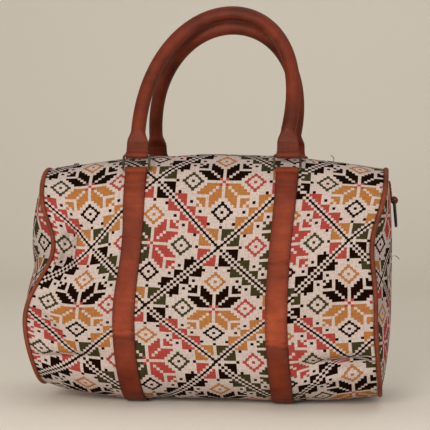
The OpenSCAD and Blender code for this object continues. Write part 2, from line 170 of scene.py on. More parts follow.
def bump(x, middle, reach):
    """Rounded bump of height 1."""
    return np.exp(-((x - middle) / reach) ** 2)


def mix(a, b, t):
    return a + (b - a) * t


# The shared skin

def section(a):
    """Distance from the middle plane, height and slope, at a length a from the base's middle."""
    low = (a - BASE_FLAT) / BASE_R
    high = (a - SHOULDER_FROM) / SHOULDER_R
    where = [a <= BASE_FLAT, a <= ARC_FROM, a <= SHOULDER_FROM, a <= TOP_FROM]
    out = np.select(
        where,
        [a, BASE_FLAT + BASE_R * np.sin(low), BODY_DEPTH / 2 + 0 * a, TOP_FLAT + SHOULDER_R * np.cos(high)],
        HALF_GIRTH - a,
    )
    height = np.select(
        where,
        [0 * a, BASE_R * (1 - np.cos(low)), BASE_R + a - ARC_FROM,
         BODY_HEIGHT - SHOULDER_R + SHOULDER_R * np.sin(high)],
        BODY_HEIGHT,
    )
    slope = np.select(where, [-math.pi / 2 + 0 * a, low - math.pi / 2, 0 * a, high], math.pi / 2)
    return out, height, slope


def sway_at(h):
    """How far the body hangs to the side at a height."""
    top = BODY_HEIGHT - SWAY_FROM
    back = SWAY_RETURN * ease(1 - h / SWAY_HEIGHT)
    return back - SWAY * ease((top - h) / (top - SWAY_HEIGHT)) + CENTRE_X


def edge_shift(u, h, depth):
    """How far the front edges of the ends are drawn in."""
    left = LEFT_PINCH * bump(h, PINCH_HEIGHT, PINCH_REACH) - LEFT_SLUMP * bump(h, SLUMP_HEIGHT, PINCH_REACH)
    right = -RIGHT_PINCH * bump(h, PINCH_HEIGHT + PINCH_STEP, PINCH_REACH)
    return ease(0.5 - depth / BODY_DEPTH) * np.where(u > 0, right, left)


def rise_at(u, high):
    """Rise of the base beyond the bands."""
    out = np.maximum(0, np.abs(u) - RISE_FROM) / (1 - RISE_FROM)
    return np.where(u > 0, RIGHT_RISE, LEFT_RISE) * out ** 2 * (1 - high) ** 3


def skin(u, s, off, inset=0.0):
    """Point on the body: u from the left seam (-1) to the right (1), s up the front (+) or back (-)."""
    u, s, off = np.broadcast_arrays(np.asarray(u, float), np.asarray(s, float), np.asarray(off, float))
    out, height, slope = section(np.abs(s))
    swell = FULLNESS * (1 - u * u) * np.sin(math.pi * height / BODY_HEIGHT)
    depth = np.where(s > 0, -1, 1) * (out + (swell + off) * np.cos(slope))
    along = u * BODY_LEN / 2
    droop = ZIP_RADIUS - np.sqrt(ZIP_RADIUS ** 2 - along ** 2)
    high = height / BODY_HEIGHT
    dip = ZIP_DIP * bump(out, 0, SHOULDER_R / 2) * high ** 8
    z = height + (swell + off) * np.sin(slope) - droop * high ** 3 - dip + rise_at(u, high) + LIFT
    x = u * (BODY_LEN / 2 - inset) + np.abs(u) ** 2.5 * edge_shift(u, height, depth) + sway_at(height)
    return np.stack([x, depth, z], -1)


def cloth(u, s, off):
    """Point on the cloth panel between the seams."""
    return skin(u, s, off, SEAM_INSET)


def end_spot(side, back, z, off):
    """Point on an end's upper half, at a height and a distance to the back."""
    r = (z - END_MIDDLE) / (skin(side, HALF_GIRTH, -END_INSET)[2] - END_MIDDLE)
    s = np.where(back > 0, -1, 1) * (HALF_GIRTH - np.abs(back) / r)
    rim = skin(side, s, -END_INSET)
    x = mix(side * BODY_LEN / 2 + sway_at(BODY_HEIGHT / 2), rim[..., 0], r * r)
    x = x + side * (END_FULLNESS * (1 - r ** 2.5) + off)
    return np.stack([x, rim[..., 1] * r, mix(END_MIDDLE, rim[..., 2], r)], -1)


# Creases in the cloth: place along and round the bag, length, width, tilt in degrees and depth
CREASES = (
    (0.80, 0.095, 0.080, 0.0058, 5, 0.0100),
    (0.74, 0.109, 0.070, 0.0085, -2, -0.0048),
    (0.70, 0.079, 0.070, 0.0060, 10, -0.0022),
    (0.80, 0.150, 0.034, 0.0050, 32, 0.0022),
    (-0.78, 0.094, 0.080, 0.0055, 9, 0.0076),
    (-0.76, 0.112, 0.060, 0.0075, 20, -0.0028),
    (-0.90, 0.202, 0.062, 0.0070, 86, 0.0085),
    (-0.88, 0.124, 0.046, 0.0052, -50, 0.0060),
    (-0.84, 0.214, 0.044, 0.0046, 24, 0.0060),
    (-0.80, 0.200, 0.040, 0.0050, 6, -0.0020),
    (-0.84, 0.182, 0.046, 0.0048, -28, 0.0058),
    (-0.66, 0.272, 0.046, 0.0070, -12, 0.0014),
    (0.80, 0.226, 0.040, 0.0060, -24, 0.0022),
    (0.74, 0.268, 0.046, 0.0070, 14, 0.0014),
    (0.10, 0.098, 0.100, 0.0070, 3, 0.0026),
    (-0.16, 0.116, 0.070, 0.0075, -8, 0.0016),
    (-0.10, 0.285, 0.070, 0.0080, -3, 0.0012),
    (0.20, 0.172, 0.060, 0.0090, 40, 0.0010),
    (-0.72, -0.104, 0.080, 0.0060, -8, 0.0040),
    (0.74, -0.098, 0.080, 0.0060, 6, 0.0036),
    (0.78, -0.190, 0.040, 0.0060, 26, 0.0020),
    (0.05, -0.105, 0.090, 0.0070, 2, 0.0020),
)
# Low waves in the cloth: their height, and radians a metre along and round the bag with the phase of each
WAVE = 0.0007
WAVE_MEAN = 1.1
WAVE_SHARE = 0.6
SHORT_SHARE = 0.6
LONG_WAVE = (46, 30, 0.7)
CROSS_WAVE = (-21, 64, 0.0)
SHORT_WAVE = (95, -70, 2.1)
# Where creases and waves die out: at the bands and the seams, as shares of half the panel, and at the zip
BAND_HOLD = 0.9
BAND_FADE = 0.09
SEAM_FADE = 0.06
ZIP_FADE = 0.012


def wave_at(x, s, wave):
    along, around, phase = wave
    return np.sin(along * x + around * s + phase)


def ripple(u, s):
    """Small creases and waves of the cloth, which die out at the seams, the zip and the bands."""
    x = u * HALF_PANEL
    deep = np.zeros_like(x)
    for at_u, at_s, length, width, tilt, depth in CREASES:
        c, d = math.cos(math.radians(tilt)), math.sin(math.radians(tilt))
        along = (x - at_u * HALF_PANEL) * c + (s - at_s) * d
        over = (s - at_s) * c - (x - at_u * HALF_PANEL) * d
        deep = deep + depth * bump(along, 0, length / 2) * bump(over, 0, width)
    wave = wave_at(x, s, LONG_WAVE) * wave_at(x, s, CROSS_WAVE) + SHORT_SHARE * wave_at(x, s, SHORT_WAVE)
    deep = deep + WAVE * (WAVE_MEAN + WAVE_SHARE * wave)
    free = ease((np.abs(np.abs(u) - BAND_U) - BAND_HALF_U * BAND_HOLD) / BAND_FADE)
    free = free * ease((1 - np.abs(u)) / SEAM_FADE) * ease((SLOT_AT - np.abs(s)) / ZIP_FADE)
    return -deep * free


# Mesh helpers

def make(name, points, faces):
    """A new smooth mesh piece."""
    mesh = bpy.data.meshes.new(name)
    mesh.from_pydata([tuple(p) for p in np.asarray(points, float)], [], [tuple(f) for f in faces])
    mesh.validate()
    obj = bpy.data.objects.new(name, mesh)
    bpy.context.collection.objects.link(obj)
    mesh.polygons.foreach_set("use_smooth", [True] * len(mesh.polygons))
    return obj


def grid_faces(rows, cols, closed=False):
    """Quads of a grid of points, each row joined to itself where it is closed."""
    last = cols if closed else cols - 1
    r, c = np.meshgrid(np.arange(rows - 1), np.arange(last), indexing="ij")
    a = (r * cols + c).ravel()
    b = (r * cols + (c + 1) % cols).ravel()
    return np.stack([a, b, b + cols, a + cols], 1)


def capped_faces(rows, cols):
    """Quads of a tube, whose rows are closed, and the two faces that shut its ends."""
    last = (rows - 1) * cols
    caps = [tuple(range(cols))[::-1], tuple(range(last, last + cols))]
    return list(grid_faces(rows, cols, closed=True)) + caps


def solidify(obj, thickness):
    """Gives a sheet its thickness, inwards."""
    mod = obj.modifiers.new("thickness", "SOLIDIFY")
    mod.thickness = thickness
    mod.offset = -1
    mod.use_even_offset = False


def mark(obj, name, values):
    """Gives a piece's points values that its material reads."""
    layer = obj.data.attributes.new(name, "FLOAT", "POINT")
    layer.data.foreach_set("value", values)


def joined_corners(threads, thin):
    """Corners of stitches that a slanting thin line of thread runs over, and the thread of that line."""
    above_left, above_right = threads[:-1, :-1], threads[:-1, 1:]
    falling = thin[:-1, :-1] & thin[1:, 1:] & ~thin[:-1, 1:] & ~thin[1:, :-1]
    rising = thin[:-1, 1:] & thin[1:, :-1] & ~thin[:-1, :-1] & ~thin[1:, 1:]
    joined = np.zeros((*threads.shape, 4), bool)
    line = threads.copy()
    for rows, cols, corner, where, thread in (
        (slice(None, -1), slice(1, None), 3, falling, above_left),
        (slice(1, None), slice(None, -1), 1, falling, above_left),
        (slice(None, -1), slice(None, -1), 2, rising, above_right),
        (slice(1, None), slice(1, None), 0, rising, above_right),
    ):
        joined[rows, cols, corner] |= where
        line[rows, cols] = np.where(where, thread, line[rows, cols])
    return joined.reshape(-1, 4), line.ravel()


def paint_threads(obj, threads, thin, stitches, keep=slice(None), turned=False):
    """Face colours from a grid of thread numbers, joined corners, and a UV map in stitches."""
    mesh = obj.data
    palette = np.array([srgb(t) + [1.0] for t in THREADS])
    joined, line = joined_corners(threads, thin)
    joined = joined[keep]
    if turned:
        joined = joined[:, ::-1]
    for name, numbers in (("thread", threads.ravel()[keep]), ("line", line[keep])):
        layer = mesh.color_attributes.new(name, "FLOAT_COLOR", "CORNER")
        layer.data.foreach_set("color", np.repeat(palette[numbers], 4, 0).ravel())
    layer = mesh.attributes.new("joined", "FLOAT", "CORNER")
    layer.data.foreach_set("value", (joined * JOINED_REACH).ravel())
    corners = np.zeros(len(mesh.loops), int)
    mesh.loops.foreach_get("vertex_index", corners)
    uv = mesh.uv_layers.new(name="stitches")
    uv.data.foreach_set("uv", np.asarray(stitches, float)[corners].ravel())


# The woven pattern: stars, stepped bands and small diamonds, in stitches to the right and down

def wrap(n):
    """Folds a stitch count into one repeat about zero."""
    return (n + HALF_REPEAT) % (2 * HALF_REPEAT) - HALF_REPEAT


def motif(i, j):
    """Thread number of each stitch, and whether it is part of a thin line."""
    x, y = wrap(i), wrap(j)
    a, b = np.abs(x), np.abs(y)
    near, far = np.minimum(a, b), np.maximum(a, b)
    quarter = 2 * (y > 0) + (x > 0)
    thread = np.full(x.shape, CREAM)

    def within(low, high):
        return (near >= low) & (far <= high)

    # Stepped bands along both diagonals, and a block of four squares where they cross
    bands = np.array([RED, MUSTARD, BLACK, OLIVE])
    blocks = np.array([MUSTARD, OLIVE, RED, BLACK])
    band = within(5, 10) | within(9, 13) | within(12, 17)
    thread = np.where(band, bands[quarter], thread)
    thread = np.where(within(1, 6), blocks[quarter], thread)
    thread = np.where(within(16, 21), blocks[3 - quarter], thread)
    thin = (near == far) & (thread != BLACK)
    thread = np.where((thread != CREAM) & (far - near == 1), CREAM, thread)
    thread = np.where(near == far, BLACK, thread)
    for p, q in ((4, 8), (7, 12), (10, 15), (14, 18), (0, 7), (15, 22)):
        thread = np.where((near == p) & (far == q), BLACK, thread)

    # Eight-petalled stars halfway between the blocks, with four small diamonds each
    star(thread, thin, x, wrap(j - HALF_REPEAT), upright=True)
    star(thread, thin, wrap(i - HALF_REPEAT), y, upright=False)
    return thread, thin


def star(thread, thin, x, y, upright):
    """Draws a star and its diamonds over the threads, about x = y = 0."""
    near, far = np.minimum(abs(x), abs(y)), np.maximum(abs(x), abs(y))
    petal = (near >= 1) & (near <= 4) & (far <= near + 4)
    corner = (near >= 6) & (far <= 8) & ~((near == 7) & (far == 8))
    colour = np.where(y < 0, BLACK, MUSTARD) if upright else np.where(x > 0, RED, OLIVE)
    inside = petal | corner
    thread[inside] = colour[inside]
    thread[(near == far) & (near >= 2) & (near <= 4)] = CREAM
    thread[(near == far) & (near <= 1)] = RED
    sides = (OLIVE, RED) if upright else (RED, OLIVE)
    for dx, dy, shade in ((-10, 0, sides[0]), (10, 0, sides[1]), (0, -10, MUSTARD), (0, 10, BLACK)):
        ring = abs(x - dx) + abs(y - dy)
        thread[(ring == 3) | (ring == 0)] = shade
        thin[ring == 3] = True


# Materials

WHITE = (1.0, 1.0, 1.0)
# Waves of the weave, two to a stitch
WEAVE_SCALE = 0.628


def material(name):
    """A new node material: its nodes, its links and its shader."""
    mat = bpy.data.materials.new(name)
    mat.use_nodes = True
    nodes = mat.node_tree.nodes
    return mat, nodes, mat.node_tree.links, nodes["Principled BSDF"]


def mesh_value(nodes, name):
    """A number that the mesh carries, or 0 where it has none."""
    node = nodes.new("ShaderNodeAttribute")
    node.attribute_name = name
    return node.outputs["Fac"]


def mesh_colour(nodes, name):
    """A colour that the mesh carries."""
    node = nodes.new("ShaderNodeVertexColor")
    node.layer_name = name
    return node.outputs["Color"]


def noise(nodes, links, place, scale, detail):
    node = nodes.new("ShaderNodeTexNoise")
    node.inputs["Scale"].default_value = scale
    node.inputs["Detail"].default_value = detail
    links.new(place, node.inputs["Vector"])
    return node.outputs["Fac"]


def ramp(nodes, links, value, stops):
    """Colour of a value, from pairs of a value and its colour."""
    node = nodes.new("ShaderNodeValToRGB")
    elements = node.color_ramp.elements
    while len(elements) < len(stops):
        elements.new(0.5)
    for element, (place, colour) in zip(elements, stops):
        element.position = place
        element.color = [*colour, 1.0]
    links.new(value, node.inputs["Fac"])
    return node.outputs["Color"]


def blend_colour(nodes, links, kind, share, a, b):
    node = nodes.new("ShaderNodeMix")
    node.data_type = "RGBA"
    node.blend_type = kind
    if isinstance(share, float):
        node.inputs["Factor"].default_value = share
    else:
        links.new(share, node.inputs["Factor"])
    links.new(a, node.inputs["A"])
    links.new(b, node.inputs["B"])
    return node.outputs["Result"]


def toned(nodes, links, colour, share, value, stops):
    """A colour multiplied by the ramp of a value, as strongly as share says."""
    return blend_colour(nodes, links, "MULTIPLY", share, colour, ramp(nodes, links, value, stops))


def bumped(nodes, links, shader, height, strength, distance):
    node = nodes.new("ShaderNodeBump")
    node.inputs["Strength"].default_value = strength
    node.inputs["Distance"].default_value = distance
    links.new(height, node.inputs["Height"])
    links.new(node.outputs["Normal"], shader.inputs["Normal"])


def combine(nodes, links, operation, a, b):
    """Two values added or multiplied."""
    node = nodes.new("ShaderNodeMath")
    node.operation = operation
    links.new(a, node.inputs[0])
    links.new(b, node.inputs[1])
    return node.outputs[0]


def woven_cloth():
    """Jacquard cloth: thread colours from the mesh, heathering, and a raised weave whose gaps are painted
    darker as shade.
    """
    mat, nodes, links, shader = material("woven_cloth")
    filled = nodes.new("ShaderNodeMath")
    filled.operation = "GREATER_THAN"
    filled.inputs[1].default_value = 0.5
    links.new(mesh_value(nodes, "joined"), filled.inputs[0])
    thread, line = mesh_colour(nodes, "thread"), mesh_colour(nodes, "line")
    colour = blend_colour(nodes, links, "MIX", filled.outputs[0], thread, line)
    stitches = nodes.new("ShaderNodeUVMap")
    stitches.uv_map = "stitches"
    place = stitches.outputs["UV"]
    fleck = noise(nodes, links, place, scale=1.2, detail=3.0)
    cloud = noise(nodes, links, place, scale=0.03, detail=3.0)
    colour = toned(nodes, links, colour, 0.75, fleck, [(0.30, (0.70, 0.66, 0.65)), (0.60, WHITE)])
    colour = toned(nodes, links, colour, 0.8, cloud, [(0.35, (0.90, 0.88, 0.86)), (0.65, WHITE)])
    waves = []
    for direction in ("X", "Y"):
        wave = nodes.new("ShaderNodeTexWave")
        wave.bands_direction = direction
        wave.inputs["Scale"].default_value = WEAVE_SCALE
        wave.inputs["Distortion"].default_value = 0.6
        links.new(place, wave.inputs["Vector"])
        waves.append(wave.outputs["Fac"])
    weave = combine(nodes, links, "MULTIPLY", *waves)
    # Painted shade in the gaps between the threads of the weave
    colour = toned(nodes, links, colour, 0.6, weave, [(0.0, (0.66, 0.63, 0.61)), (0.40, WHITE)])
    links.new(colour, shader.inputs["Base Color"])
    height = combine(nodes, links, "ADD", weave, fleck)
    bumped(nodes, links, shader, height, strength=0.5, distance=0.0006)
    shader.inputs["Roughness"].default_value = 0.95
    shader.inputs["Specular IOR Level"].default_value = 0.03
    return mat


def leather(name, light, dark, gloss, shine_level=0.2):
    """Grained leather with darker clouds, fold lines painted darker as shade, and darker where a piece
    marks cut edges, or wear and painted shade.
    """
    mat, nodes, links, shader = material(name)
    place = nodes.new("ShaderNodeTexCoord").outputs["Object"]
    cloud = noise(nodes, links, place, scale=28, detail=5.0)
    stretch = nodes.new("ShaderNodeMapping")
    stretch.inputs["Scale"].default_value = (45, 45, 190)
    links.new(place, stretch.inputs["Vector"])
    fold = noise(nodes, links, stretch.outputs["Vector"], scale=1.0, detail=3.0)
    edge, wear_and_painted_shade = mesh_value(nodes, "edge"), mesh_value(nodes, "wear_and_painted_shade")
    cut = [(0.10, WHITE), (0.60, (0.86, 0.82, 0.80)), (1.0, (0.58, 0.50, 0.46))]
    colour = ramp(nodes, links, cloud, [(0.32, srgb(dark)), (0.68, srgb(light))])
    # The fold lines are painted darker, as shade in the creases
    colour = toned(nodes, links, colour, 0.8, fold, [(0.34, (0.80, 0.77, 0.75)), (0.60, WHITE)])
    colour = toned(nodes, links, colour, 1.0, edge, cut)
    # Darker where a piece marks it: partly wear, partly painted shade
    colour = toned(nodes, links, colour, 1.0, wear_and_painted_shade, [(0.0, WHITE), (1.0, (0.52, 0.44, 0.38))])
    links.new(colour, shader.inputs["Base Color"])
    pores = nodes.new("ShaderNodeTexVoronoi")
    pores.inputs["Scale"].default_value = 900
    links.new(place, pores.inputs["Vector"])
    fine = noise(nodes, links, place, scale=420, detail=5.0)
    height = combine(nodes, links, "ADD", pores.outputs["Distance"], fine)
    height = combine(nodes, links, "ADD", height, fold)
    bumped(nodes, links, shader, height, strength=0.45, distance=0.0006)
    shine = nodes.new("ShaderNodeMapRange")
    shine.inputs["To Min"].default_value = gloss - 0.08
    shine.inputs["To Max"].default_value = gloss + 0.12
    links.new(cloud, shine.inputs["Value"])
    links.new(shine.outputs["Result"], shader.inputs["Roughness"])
    shader.inputs["Specular IOR Level"].default_value = shine_level
    return mat


def metal(name, light, dark, rough):
    """Worn metal with darker tarnish."""
    mat, nodes, links, shader = material(name)
    place = nodes.new("ShaderNodeTexCoord").outputs["Object"]
    cloud = noise(nodes, links, place, scale=160, detail=5.0)
    colour = ramp(nodes, links, cloud, [(0.35, srgb(dark)), (0.65, srgb(light))])
    links.new(colour, shader.inputs["Base Color"])
    bumped(nodes, links, shader, cloud, strength=0.15, distance=0.0003)
    shader.inputs["Metallic"].default_value = 1.0
    shader.inputs["Roughness"].default_value = rough
    return mat


def plain_thread(name, light, dark, scale=1500):
    """Twisted thread, tape or coil."""
    mat, nodes, links, shader = material(name)
    place = nodes.new("ShaderNodeTexCoord").outputs["Object"]
    twist = noise(nodes, links, place, scale, detail=2.0)
    colour = ramp(nodes, links, twist, [(0.3, srgb(dark)), (0.7, srgb(light))])
    links.new(colour, shader.inputs["Base Color"])
    bumped(nodes, links, shader, twist, strength=0.4, distance=0.0003)
    shader.inputs["Roughness"].default_value = 0.8
    return mat


CLOTH = woven_cloth()
BAND_LEATHER = leather("band_leather", "#a54d2e", "#762d15", 0.58, 0.15)
HANDLE_LEATHER = leather("handle_leather", "#742c12", "#481707", 0.48, 0.20)
PIPING_LEATHER = leather("piping_leather", "#7c3a22", "#572312", 0.54)
RING_METAL = metal("ring_metal", "#6e6250", "#3a3227", 0.38)
DARK_METAL = metal("dark_metal", "#4a4440", "#2a2624", 0.42)
THREAD = plain_thread("stitch_thread", "#5c2a1a", "#3a180e")
PALE_THREAD = plain_thread("pale_thread", "#d2c6b8", "#a89a8a")
DARK_THREAD = plain_thread("dark_thread", "#3a332d", "#1c1815")
ZIP_TAPE = plain_thread("zip_tape", "#4a3a31", "#2e241e", 2200)
ZIP_TEETH = plain_thread("zip_teeth", "#3b3028", "#231c18", 300)


def finish_piece(obj, mat, body, slot, *nodes):
    """Dresses a piece, ties it to its body and lets it stand for CAD nodes."""
    obj.data.materials.append(mat)
    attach(obj, body)
    if nodes:
        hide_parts(*nodes)


# Cloth panel and ends

SHEET_T = CLOTH_T * 0.7
RIM_POINTS = 720
TINY = 1e-9


def beyond_bands(u):
    """How far a place lies out from the bands to the left and the right seam, from 0 to 1."""
    return ease((-BAND_U - u) / (1 - BAND_U)), ease((u - BAND_U) / (1 - BAND_U))


def row_sag(u, s):
    """How far the rows of stitches hang down between the bands and towards the left end's seam."""
    left, right = beyond_bands(u)
    ends = LEFT_SAG * left - RIGHT_LIFT * right
    hang = (MIDDLE_SAG * bump(u, SAG_U, SAG_WIDTH) + ends) * bump(s, PATTERN_S, SAG_REACH)
    seam = LEFT_RETURN * ease((RETURN_U - u) / (1 + RETURN_U) / 2) * 2
    return hang - seam * bump(s, PATTERN_S, RETURN_REACH)


def row_lift(u, s):
    """How far the rows of stitches near the base lie higher, most of all beyond the bands."""
    left, right = beyond_bands(u)
    tuck = (RIGHT_TUCK * right ** 0.5 + LEFT_TUCK * left) * ease((TUCK_FROM - s) / TUCK_REACH)
    return (LOW_LIFT * ease((LOW_FROM - s) / LOW_REACH) + tuck) * ease(s / LOW_REACH + LOW_FADE)


def body_panel():
    """Cloth from the zip's front edge round the base to its rear edge, one quad to a stitch."""
    cols = round(2 * HALF_PANEL / STITCH_X)
    rows = round(2 * SLOT_AT / STITCH_S)
    u = np.linspace(-1, 1, cols + 1)
    flat_s = np.linspace(-SLOT_AT, SLOT_AT, rows + 1)
    uu, ss = np.meshgrid(u, flat_s)
    laid_s = ss - row_sag(uu, ss) + row_lift(uu, ss)
    points = cloth(uu, laid_s, ripple(uu, laid_s))
    obj = make("body_cloth", points.reshape(-1, 3), grid_faces(rows + 1, cols + 1))
    middle_u = (uu[:-1, :-1] + uu[1:, 1:]) / 2
    middle_s = (ss[:-1, :-1] + ss[1:, 1:]) / 2
    i = np.floor((middle_u * HALF_PANEL - PATTERN_X) / STITCH_X + 0.5).astype(int)
    j = np.floor((PATTERN_S - middle_s) / STITCH_S + 0.5).astype(int)
    stitches = np.stack([uu.ravel() * HALF_PANEL / STITCH_X, ss.ravel() / STITCH_S], 1)
    paint_threads(obj, *motif(i, j), stitches)
    solidify(obj, SHEET_T)
    finish_piece(obj, CLOTH, "bag", "cloth", "body_panel")


def end_rim(side):
    """Rim of an end as points, and the angle of each about the end's middle."""
    s = np.linspace(-HALF_GIRTH, HALF_GIRTH, RIM_POINTS, endpoint=False)
    rim = skin(np.full(RIM_POINTS, side), s, -END_INSET)
    angle = np.arctan2(rim[:, 2] - END_MIDDLE, rim[:, 1])
    order = np.argsort(angle)
    return rim[order], angle[order]


def end_panel(side, name):
    """Cloth of an end: whole stitches inside the rim, and the outermost drawn in to it."""
    rim, angle = end_rim(side)
    across = math.ceil(BODY_DEPTH / 2 / STITCH_X)
    up = math.ceil(BODY_HEIGHT / STITCH_S / 2)
    y, z = np.meshgrid(np.arange(-across, across + 1) * STITCH_X, np.arange(-up, up + 1) * STITCH_S)
    turn = np.arctan2(z, y)
    radius = np.hypot(y, z)
    rim_r = np.interp(turn, angle, np.hypot(rim[:, 1], rim[:, 2] - END_MIDDLE), period=2 * math.pi)
    rim_x = np.interp(turn, angle, rim[:, 0], period=2 * math.pi)
    inside = radius < rim_r
    keep = inside[:-1, :-1] | inside[1:, :-1] | inside[:-1, 1:] | inside[1:, 1:]
    pull = np.where(inside, 1, rim_r / np.maximum(radius, TINY))
    y, z, r = y * pull, z * pull, np.minimum(radius / rim_r, 1)
    x = mix(side * BODY_LEN / 2 + sway_at(BODY_HEIGHT / 2), rim_x, r * r)
    x = x + side * (END_FULLNESS * (1 - r ** 2.5) + CLOTH_T / 2)
    faces = grid_faces(2 * up + 1, 2 * across + 1)[keep.ravel()]
    if side < 0:
        faces = faces[:, ::-1]
    used, faces = np.unique(faces, return_inverse=True)
    points = np.stack([x, y, z + END_MIDDLE], -1).reshape(-1, 3)[used]
    obj = make(name, points, faces.reshape(-1, 4))
    col, row = np.meshgrid(np.arange(-across, across), np.arange(-up, up))
    threads, thin = motif(side * col, HALF_REPEAT - row)
    stitches = np.stack([y.ravel() / STITCH_X, z.ravel() / STITCH_S], 1)[used]
    paint_threads(obj, threads, thin, stitches, keep.ravel(), side < 0)
    solidify(obj, SHEET_T)
    finish_piece(obj, CLOTH, "bag", "cloth", name.replace("_cloth", ""))


# Piping

PIPING_STEPS = 260
PIPING_SIDES = 12


def piping(side, name):
    """Leather-covered cord round an end's seam."""
    s = np.linspace(-HALF_GIRTH, HALF_GIRTH, PIPING_STEPS, endpoint=False)
    t = 2 * math.pi * np.arange(PIPING_SIDES) / PIPING_SIDES
    ss, tt = np.meshgrid(s, t, indexing="ij")
    points = skin(np.full(ss.shape, side), ss, -CLOTH_T / 2 + PIPING_R * np.sin(tt))
    points[..., 0] += PIPING_R * np.cos(tt)
    faces = grid_faces(PIPING_STEPS + 1, PIPING_SIDES, closed=True) % (PIPING_STEPS * PIPING_SIDES)
    obj = make(name, points.reshape(-1, 3), faces)
    finish_piece(obj, PIPING_LEATHER, "bag", "leather", name.replace("_leather", ""))


# Sewn stitches: places along one, its half thickness and height there, and how they follow each other

SEWN_PLACES = np.array([0, 0.2, 0.5, 0.8, 1.0])
SEWN_SWELL = np.array([0.25, 0.85, 1.0, 0.85, 0.25])
SEWN_SINK = np.array([-0.35, 0.05, 0.2, 0.05, -0.35])
SEWN_SIDES = 6
SEWN_PITCH = 1.35
SEWN_START = 0.18
SEWN_LEN = 0.0030
SEWN_T = 0.0007
NORMAL_STEP = 0.002


def stitch_row(name, path, normals, length, thickness=SEWN_T):
    """Row of short raised stitches along a path, each a flat bead between two points of it."""
    steps = np.linalg.norm(np.diff(path, axis=0), axis=1)
    along = np.concatenate([[0], np.cumsum(steps)])
    count = int(along[-1] / (length * SEWN_PITCH))
    rings = len(SEWN_PLACES)
    swell = thickness / 2 * SEWN_SWELL
    sink = thickness * SEWN_SINK
    bead_faces = [np.array(f) for f in capped_faces(rings, SEWN_SIDES)]
    points, faces = [], []
    for k in range(count):
        start = (k + SEWN_START) * along[-1] / count
        places = start + length * SEWN_PLACES
        spine = np.stack([np.interp(places, along, path[:, c]) for c in range(3)], 1)
        up = np.stack([np.interp(places, along, normals[:, c]) for c in range(3)], 1)
        up /= np.linalg.norm(up, axis=1)[:, None]
        ahead = spine[-1] - spine[0]
        ahead /= np.linalg.norm(ahead)
        over = np.cross(ahead, up)
        base = len(points)
        for m in range(rings):
            for q in range(SEWN_SIDES):
                turn = 2 * math.pi * q / SEWN_SIDES
                high = sink[m] + swell[m] * math.sin(turn)
                points.append(spine[m] + up[m] * high + over[m] * swell[m] * math.cos(turn))
        faces += [base + f for f in bead_faces]
    return make(name, points, faces)


def sew(name, line_u, line_s, off, mat=THREAD, slot="leather"):
    """Row of stitches along a line on the bag."""
    path = cloth(line_u, line_s, off)
    row = stitch_row(name, path, path - cloth(line_u, line_s, off - NORMAL_STEP), SEWN_LEN)
    finish_piece(row, mat, "bag", slot)


# Bands: creases across them at these places round the bag, with their depth, width and slant

LEFT_BAND_CREASES = (0.116, 0.123, 0.208, -0.112)
RIGHT_BAND_CREASES = (0.109, 0.186, 0.114, -0.118)
BAND_CREASE = 0.0009
BAND_CREASE_W = 0.0016
BAND_CREASE_SLANT = 0.0012
# They are painted darker where they turn under, as shade, left pale on the belly as a painted sheen, and
# darker again towards the rings, partly wear from handling and partly painted shade
LEFT_SHEEN_FROM = 0.116
RIGHT_SHEEN_FROM = 0.108
SHEEN_FADE = 0.007
HANDLED_AND_SHADED = 0.85
HANDLED_AND_SHADED_FROM = 0.136
HANDLED_AND_SHADED_FADE = 0.040
# Section across from the middle: place across and share of the thickness
HALF_PROFILE = [(0.4, 1.0), (0.78, 0.94), (0.90, 0.98), (0.97, 0.85), (1, 0.55), (1, 0.0)]
BAND_PROFILE = np.array([(-p, share) for p, share in HALF_PROFILE[::-1]] + [(0, 1.0)] + HALF_PROFILE)
BAND_STEPS = 400
TURN_STEPS = 14
BEFORE_TURN = 0.0006
AFTER_TURN = 0.0003
# Rows of stitches: along the edges and across the turned ends
EDGE_ROW = 0.8
EDGE_ROW_HEIGHT = 0.94
EDGE_ROW_POINTS = 300
SEW_CLEAR = 0.009
END_ROW = 0.85
END_ROW_HEIGHT = 1.96
END_ROW_POINTS = 60
FIRST_END_ROW = 0.0016
LAST_END_ROW = 0.0045
# Leather loops: places across them, what is taken off at their rims, points round and room in the bore
LOOP_PLACES = np.array([-1, -0.98, -0.92, 0, 0.92, 0.98, 1])
LOOP_RIMS = np.array([0.0005, 0.0002, 0, 0, 0, 0.0002, 0.0005])
LOOP_SIDES = 32
BORE_ROOM = 0.0001


